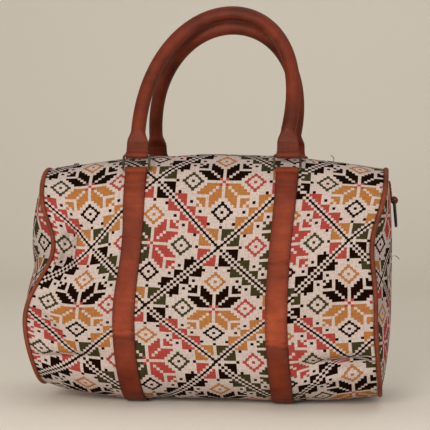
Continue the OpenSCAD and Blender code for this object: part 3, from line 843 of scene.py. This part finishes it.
def strap(side, name):
    """Leather band round the bag, doubled at both ends, with its loops and stitches."""
    turn_from = BAND_END - TURN_LEN
    single = np.linspace(0, turn_from - BEFORE_TURN, BAND_STEPS)
    steps = np.concatenate([single, np.linspace(turn_from + AFTER_TURN, BAND_END, TURN_STEPS)])
    s = np.concatenate([-steps[:0:-1], steps])
    up = np.abs(s)
    doubled = np.where(up > turn_from, 2.0, 1.0)
    across, share = BAND_PROFILE.T
    uu, ss = np.meshgrid(side * BAND_U + across * BAND_HALF_U, s)
    slant = BAND_CREASE_SLANT * np.sin(3 * across)
    dip = np.zeros_like(ss)
    for k, place in enumerate(LEFT_BAND_CREASES if side < 0 else RIGHT_BAND_CREASES):
        dip += BAND_CREASE * bump(ss + slant * (-1) ** k, place, BAND_CREASE_W)
    points = cloth(uu, ss, SOFT_GAP + (BAND_T * doubled[:, None] - dip) * share)
    rows, cols = ss.shape
    obj = make(name, points.reshape(-1, 3), capped_faces(rows, cols))
    mark(obj, "edge", np.tile(across ** 2, rows))
    # Painted shade where the band turns under, a painted sheen on the pale belly between, and darker
    # towards the rings, partly wear and partly painted shade
    sheen_from = LEFT_SHEEN_FROM if side < 0 else RIGHT_SHEEN_FROM
    wear_and_painted_shade = 1 - ease((up - sheen_from) / SHEEN_FADE) + HANDLED_AND_SHADED * ease((up - HANDLED_AND_SHADED_FROM) / HANDLED_AND_SHADED_FADE)
    mark(obj, "wear_and_painted_shade", np.repeat(wear_and_painted_shade, cols))
    finish_piece(obj, BAND_LEATHER, "bag", "leather", name.replace("_leather", ""))
    for front, word in ((-1, "front"), (1, "rear")):
        middle = cloth(side * BAND_U, -front * BAND_END, SOFT_GAP + LOOP_R)
        loop = leather_loop(f"{name}_loop_{word}", middle, BAND_W, LOOP_R)
        # The band's loops are darkened like its ends near the rings: partly wear, partly painted shade
        mark(loop, "wear_and_painted_shade", np.full(len(loop.data.vertices), HANDLED_AND_SHADED))
        finish_piece(loop, BAND_LEATHER, "bag", "leather")
    for edge in (-1, 1):
        for front in (-1, 1):
            line_u = np.full(EDGE_ROW_POINTS, side * BAND_U + edge * EDGE_ROW * BAND_HALF_U)
            line_s = -front * np.linspace(BASE_FLAT + SEW_CLEAR, turn_from, EDGE_ROW_POINTS)
            sew(f"{name}_stitches", line_u, line_s, SOFT_GAP + BAND_T * EDGE_ROW_HEIGHT)
    line_u = side * BAND_U + np.linspace(-END_ROW, END_ROW, END_ROW_POINTS) * BAND_HALF_U
    for front in (-1, 1):
        for place in (turn_from + FIRST_END_ROW, BAND_END - LAST_END_ROW):
            line_s = np.full(END_ROW_POINTS, -front * place)
            sew(f"{name}_end_stitches", line_u, line_s, SOFT_GAP + BAND_T * END_ROW_HEIGHT)


def leather_loop(name, middle, width, radius, along="X"):
    """Leather bent round a ring's bar: a short tube along X or Y with softened rims and a bore."""
    across = LOOP_PLACES * width / 2
    inner = radius - BAND_T + BORE_ROOM
    rows = list(zip(across, radius - LOOP_RIMS)) + [(across[-1], inner), (across[0], inner)]
    points = []
    for place, r in rows:
        for q in range(LOOP_SIDES):
            turn = 2 * math.pi * q / LOOP_SIDES
            c, d = r * math.cos(turn), r * math.sin(turn)
            points.append(np.add(middle, (place, c, d) if along == "X" else (-c, place, d)))
    faces = grid_faces(len(rows) + 1, LOOP_SIDES, closed=True) % (len(rows) * LOOP_SIDES)
    return make(name, points, faces)


# Handles

ARCH_STEPS = 90
HANDLE_SIDES = 32
FLAT_STEPS = 6
TAPER_PLACES = np.linspace(0.1, 0.92, 10)
FLAT_POWER = 0.35
ROLL_SEAM = 0.10
ROLL_SEAM_W = 0.16
HANDLE_ROWS = (0.52, 0.92)
HANDLE_ROW = 0.42
HANDLE_ROW_POINTS = 40
HANDLE_SEWN_LEN = 0.0024
ON_TOP = 0.0001


def handle(word, reach):
    """Rolled handle: round over its arch, flat and folded round the ring at both ends."""
    bar = np.array(joints[f"{word}_handle_swing"]["pos_m"])
    up = bar - np.array(joints[f"{word}_rings_swing"]["pos_m"])
    up /= np.linalg.norm(up)
    back = np.array([0, up[2], -up[1]])
    half = BAND_SPACING / 2
    foot = TAB_LEN + TAPER_LEN
    t = np.linspace(0, math.pi, ARCH_STEPS)
    over = half * np.cos(t) + HANDLE_SKEW * np.sin(t) + HANDLE_FULL * np.sin(2 * t)
    over_rate = HANDLE_SKEW * np.cos(t) - half * np.sin(t) + 2 * HANDLE_FULL * np.cos(2 * t)
    arch = np.stack([over, foot + (reach - foot) * np.sin(t)], 1)
    heading = np.arctan2((reach - foot) * np.cos(t), over_rate)
    low = np.concatenate([np.linspace(0, TAB_LEN, FLAT_STEPS), TAB_LEN + TAPER_LEN * TAPER_PLACES])
    flat_low = 1 - ease((low - TAB_LEN) / TAPER_LEN)
    right_leg = np.stack([half + 0 * low, low], 1)
    left_leg = np.stack([-half + 0 * low, low], 1)[::-1]
    spine = np.vstack([right_leg, arch, left_leg])
    turn = np.concatenate([np.full(len(low), math.pi / 2), heading, np.full(len(low), -math.pi / 2)])
    flat = np.concatenate([flat_low, np.zeros(len(t)), flat_low[::-1]])[:, None]
    q = 2 * math.pi * (np.arange(HANDLE_SIDES) + 0.5) / HANDLE_SIDES
    power = mix(1, FLAT_POWER, flat)
    wide = mix(HANDLE_D, TAB_W - 2 * SOFT_GAP, flat) / 2 * np.sign(np.cos(q)) * np.abs(np.cos(q)) ** power
    thick = mix(HANDLE_D, 2 * BAND_T, flat) / 2 * np.sign(np.sin(q)) * np.abs(np.sin(q)) ** power
    # A shallow seam along the inside of the roll
    groove = 1 - ROLL_SEAM * (1 - flat) * bump(q, math.pi, ROLL_SEAM_W)
    x = spine[:, :1] + wide * groove * np.sin(turn)[:, None]
    h = spine[:, 1:] - wide * groove * np.cos(turn)[:, None]
    points = bar + [CENTRE_X, 0, 0] + x[..., None] * [1, 0, 0] + thick[..., None] * back + h[..., None] * up
    faces = [f[::-1] for f in capped_faces(*x.shape)]
    obj = make(f"handle_{word}_leather", points.reshape(-1, 3), faces)
    finish_piece(obj, HANDLE_LEATHER, f"{word}_handle", "handle_leather", f"handle_{word}")
    across = np.linspace(-HANDLE_ROW, HANDLE_ROW, HANDLE_ROW_POINTS)[:, None] * TAB_W * [1, 0, 0]
    for side in (-1, 1):
        middle = bar + [CENTRE_X + side * half, 0, 0]
        loop = leather_loop(f"handle_{word}_loop", middle, TAB_W, LOOP_R)
        finish_piece(loop, HANDLE_LEATHER, f"{word}_handle", "handle_leather")
        for face in (-1, 1):
            normals = np.tile(face * back, (HANDLE_ROW_POINTS, 1))
            for place in HANDLE_ROWS:
                path = middle + across + TAB_LEN * place * up + face * (BAND_T + ON_TOP) * back
                row = stitch_row(f"handle_{word}_stitches", path, normals, HANDLE_SEWN_LEN)
                finish_piece(row, THREAD, f"{word}_handle", "handle_leather")


# Zip

TAPE_COLS = 161
TAPE_ROWS = 9
ZIP_ROW = 0.985
ZIP_ROW_POINTS = 500
ZIP_ROW_INSET = 0.003
TOOTH_PITCH = 0.0019
TOOTH_WIDTH = 0.36
TOOTH_HEIGHT = 0.96
TOOTH_POWER = 0.5
TOOTH_RINGS = 7
TOOTH_SIDES = 10


def zip_half(front, word):
    """Tape, row of teeth and top stitches on one side of the zip."""
    u = np.linspace(-1, 1, TAPE_COLS)
    s = -front * np.linspace(SLOT_AT + SOFT_GAP, HALF_GIRTH - COIL_EDGE - SOFT_GAP, TAPE_ROWS)
    if front > 0:
        s = s[::-1]
    uu, ss = np.meshgrid(u, s)
    points = cloth(uu, ss, (TAPE_T - CLOTH_T) / 2)
    tape = make(f"zip_tape_{word}_woven", points.reshape(-1, 3), grid_faces(TAPE_ROWS, TAPE_COLS))
    solidify(tape, TAPE_T)
    finish_piece(tape, ZIP_TAPE, "bag", "zip_tape", f"zip_tape_{word}")
    finish_piece(teeth(front, f"zip_teeth_{word}"), ZIP_TEETH, "bag", "zip_teeth", f"zip_coil_{word}")
    line_u = np.linspace(-ZIP_ROW, ZIP_ROW, ZIP_ROW_POINTS)
    line_s = np.full(ZIP_ROW_POINTS, -front * (SLOT_AT - ZIP_ROW_INSET))
    sew(f"zip_stitches_{word}", line_u, line_s, ON_TOP, PALE_THREAD, "cloth")


def teeth(front, name):
    """Row of small rounded teeth along the zip's arc."""
    count = int(2 * HALF_PANEL / TOOTH_PITCH)
    sweep = math.asin(HALF_PANEL / ZIP_RADIUS)
    lat = np.linspace(-1, 1, TOOTH_RINGS) * math.pi / 2
    lon = np.arange(TOOTH_SIDES) * 2 * math.pi / TOOTH_SIDES
    la, lo = np.meshgrid(lat, lon, indexing="ij")

    def soft(v):
        return np.sign(v) * np.abs(v) ** TOOTH_POWER

    girth = soft(np.cos(la))
    bead = np.stack([girth * soft(np.cos(lo)), soft(np.sin(la)), girth * soft(np.sin(lo))], -1)
    bead = bead.reshape(-1, 3) * [TOOTH_PITCH * TOOTH_WIDTH, COIL_W / 2, COIL_T / 2 * TOOTH_HEIGHT]
    bead_faces = grid_faces(TOOTH_RINGS, TOOTH_SIDES, closed=True)
    centre = np.array([CENTRE_X, front * (COIL_GAP + COIL_W) / 2, ZIP_Z - ZIP_RADIUS])
    points, faces = [], []
    for k in range(count):
        a = -sweep + 2 * sweep * (k + 0.5) / count
        ahead = np.array([math.cos(a), 0, -math.sin(a)])
        out = np.array([math.sin(a), 0, math.cos(a)])
        middle = centre + ZIP_RADIUS * out
        faces.append(bead_faces + len(bead) * k)
        points.append(middle + bead[:, :1] * ahead + bead[:, 1:2] * [0, 1, 0] + bead[:, 2:] * out)
    return make(name, np.vstack(points), np.vstack(faces))


# End tabs

TAB_CORNER = 0.004
CORNER_TURNS = np.linspace(0.2, 1.57, 7)
CORNER_SHARE = 0.999
STRAIGHT_STEPS = 8
TAB_ROW_INSET = 0.0026
TAB_ROW_LOW = 0.0055
TAB_ROW_HEIGHT = 0.97
TAB_ROW_POINTS = 40
TAB_SEWN_LEN = 0.0022
TAB_SEWN_T = 0.0006


def side_tab(side, word):
    """Rounded leather tab on an end, turned round its D-ring's bar."""
    shoulder = DEE_TOP - TAB_CORNER
    straight = np.linspace(DEE_LOW, shoulder, STRAIGHT_STEPS)
    z = np.concatenate([straight, shoulder + TAB_CORNER * np.sin(CORNER_TURNS)])
    corner = np.clip((z - shoulder) / TAB_CORNER, 0, 1)
    half = DEE_TAB_W / 2 - TAB_CORNER * (1 - np.sqrt(1 - corner ** 2 * CORNER_SHARE))
    across, share = BAND_PROFILE.T
    zz = np.repeat(z[:, None], len(across), 1)
    under = CLOTH_T / 2 + SOFT_GAP
    points = end_spot(side, side * half[:, None] * across, zz, under + BAND_T * share)
    obj = make(f"side_tab_{word}_leather", points.reshape(-1, 3), capped_faces(*zz.shape))
    finish_piece(obj, PIPING_LEATHER, "bag", "leather", f"side_tab_{word}")
    axis = np.array(joints[f"{word}_dee_swing"]["pos_m"])
    loop = leather_loop(f"side_tab_{word}_loop", axis, DEE_TAB_W, DEE_LOOP_R, "Y")
    finish_piece(loop, PIPING_LEATHER, "bag", "leather")
    low, top, wide = DEE_LOW + TAB_ROW_LOW, DEE_TOP - TAB_ROW_INSET, DEE_TAB_W / 2 - TAB_ROW_INSET
    corners = [(-wide, low), (-wide, top), (wide, top), (wide, low), (-wide, low)]
    way = np.linspace(0, 1, TAB_ROW_POINTS)
    normals = np.tile([side, 0.0, 0.0], (TAB_ROW_POINTS, 1))
    for (y0, z0), (y1, z1) in zip(corners, corners[1:]):
        path = end_spot(side, mix(y0, y1, way), mix(z0, z1, way), under + BAND_T * TAB_ROW_HEIGHT)
        row = stitch_row(f"side_tab_{word}_stitches", path, normals, TAB_SEWN_LEN, TAB_SEWN_T)
        finish_piece(row, THREAD, "bag", "leather")


# Loose threads

FRAY_R = 0.00032
FRAY_STEPS = 14
FRAY_SIDES = 6


def loose_thread(name, root, reach, curl):
    """Frayed end of thread that starts in the cloth, reaches out and curls a little."""
    t = np.linspace(0, 1, FRAY_STEPS)[:, None]
    path = np.asarray(root) + t * np.asarray(reach) + np.sin(math.pi * t) * np.asarray(curl)
    q = 2 * math.pi * np.arange(FRAY_SIDES) / FRAY_SIDES
    ring = np.stack([np.cos(q), np.sin(q), 0.5 * np.sin(q + 1)], 1) * FRAY_R
    points = (path[:, None, :] + ring[None]).reshape(-1, 3)
    obj = make(name, points, capped_faces(FRAY_STEPS, FRAY_SIDES))
    finish_piece(obj, DARK_THREAD, "bag", "cloth")


# Build everything

body_panel()
for side, word in ((-1, "left"), (1, "right")):
    end_panel(side, f"end_panel_{word}_cloth")
    piping(side, f"piping_{word}_leather")
    strap(side, f"strap_{word}_leather")
    side_tab(side, word)
handle("front", HANDLE_REACH)
handle("rear", HANDLE_REACH - REAR_DROP)
zip_half(-1, "front")
zip_half(1, "rear")
loose_thread("thread_top", cloth(0.70, 0.312, -0.0005), (-0.002, 0.0, 0.006), (0.002, -0.001, 0.0))
loose_thread("thread_end", end_spot(1, -0.018, 0.140, 0.0008), (0.007, -0.002, -0.002), (0.0, 0.0, 0.002))

# Looks of the CAD nodes that show as they are
RING_NODES = ("ring_front_left", "ring_front_right", "ring_rear_left", "ring_rear_right")
DARK_NODES = ("zip_slider", "zip_puller", "side_ring_left", "side_ring_right")
for names, mat in ((RING_NODES, RING_METAL), (DARK_NODES, DARK_METAL)):
    for name in names:
        looks = frame["nodes"][name].data.materials
        looks.clear()
        looks.append(mat)

# Floor, backdrop, lights and camera
PALE = "#ebe4d8"
FLOOR_FROM = -2.5
FLOOR_HALF = 4.0
BEND_FROM = 1.2
BEND_R = 0.8
BEND_STEPS = 16
WALL_TOP = 3.0
AZIMUTH = 6.5
ELEVATION = 2.0
DISTANCE = 1.30
AIM = (0.0011, 0.0, 0.1747)
PIXELS_PER_MM = 1.045
PHOTO_PIXELS = 430
SENSOR = 36.0


def backdrop():
    """Floor that curves up into a wall behind the bag."""
    bend = np.linspace(0, math.pi / 2, BEND_STEPS)
    curve = [(BEND_FROM + BEND_R * math.sin(t), BEND_R - BEND_R * math.cos(t)) for t in bend]
    curve = [(FLOOR_FROM, 0.0)] + curve + [(BEND_FROM + BEND_R, WALL_TOP)]
    points = [(x, y, z) for y, z in curve for x in (-FLOOR_HALF, FLOOR_HALF)]
    obj = make("backdrop", points, grid_faces(len(curve), 2))
    mat, _, _, shader = material("pale_floor")
    shader.inputs["Base Color"].default_value = [*srgb(PALE), 1.0]
    shader.inputs["Roughness"].default_value = 0.9
    obj.data.materials.append(mat)


def area_light(name, place, aim, size, power, colour=WHITE):
    data = bpy.data.lights.new(name, "AREA")
    data.size = size
    data.energy = power
    data.color = colour
    obj = bpy.data.objects.new(name, data)
    obj.location = place
    obj.rotation_euler = (Vector(aim) - Vector(place)).to_track_quat("-Z", "Y").to_euler()
    bpy.context.collection.objects.link(obj)


def camera():
    """Camera at the photo's angle and scale."""
    data = bpy.data.cameras.new("camera")
    data.sensor_width = SENSOR
    data.sensor_fit = "HORIZONTAL"
    width = PHOTO_PIXELS / PIXELS_PER_MM / 1000
    data.lens = SENSOR * DISTANCE / width
    obj = bpy.data.objects.new("camera", data)
    az, el = math.radians(AZIMUTH), math.radians(ELEVATION)
    away = Vector((math.sin(az) * math.cos(el), -math.cos(az) * math.cos(el), math.sin(el)))
    obj.location = Vector(AIM) + DISTANCE * away
    obj.rotation_euler = (-away).to_track_quat("-Z", "Y").to_euler()
    bpy.context.collection.objects.link(obj)
    bpy.context.scene.camera = obj


backdrop()
camera()
area_light("key", (-0.4, -1.75, 0.55), (0, 0, 0.15), size=0.7, power=24, colour=(1.0, 0.97, 0.93))
area_light("fill", (1.3, -1.6, 0.45), (0, 0, 0.15), size=1.6, power=14)
area_light("top", (0.2, 0.2, 1.8), (0, 0, 0.1), size=1.4, power=6)
world = bpy.data.worlds.new("soft_world")
world.use_nodes = True
world.node_tree.nodes["Background"].inputs["Color"].default_value = [*srgb("#e9e4dc"), 1.0]
world.node_tree.nodes["Background"].inputs["Strength"].default_value = 0.45
bpy.context.scene.world = world
bpy.context.scene.view_settings.view_transform = "Standard"
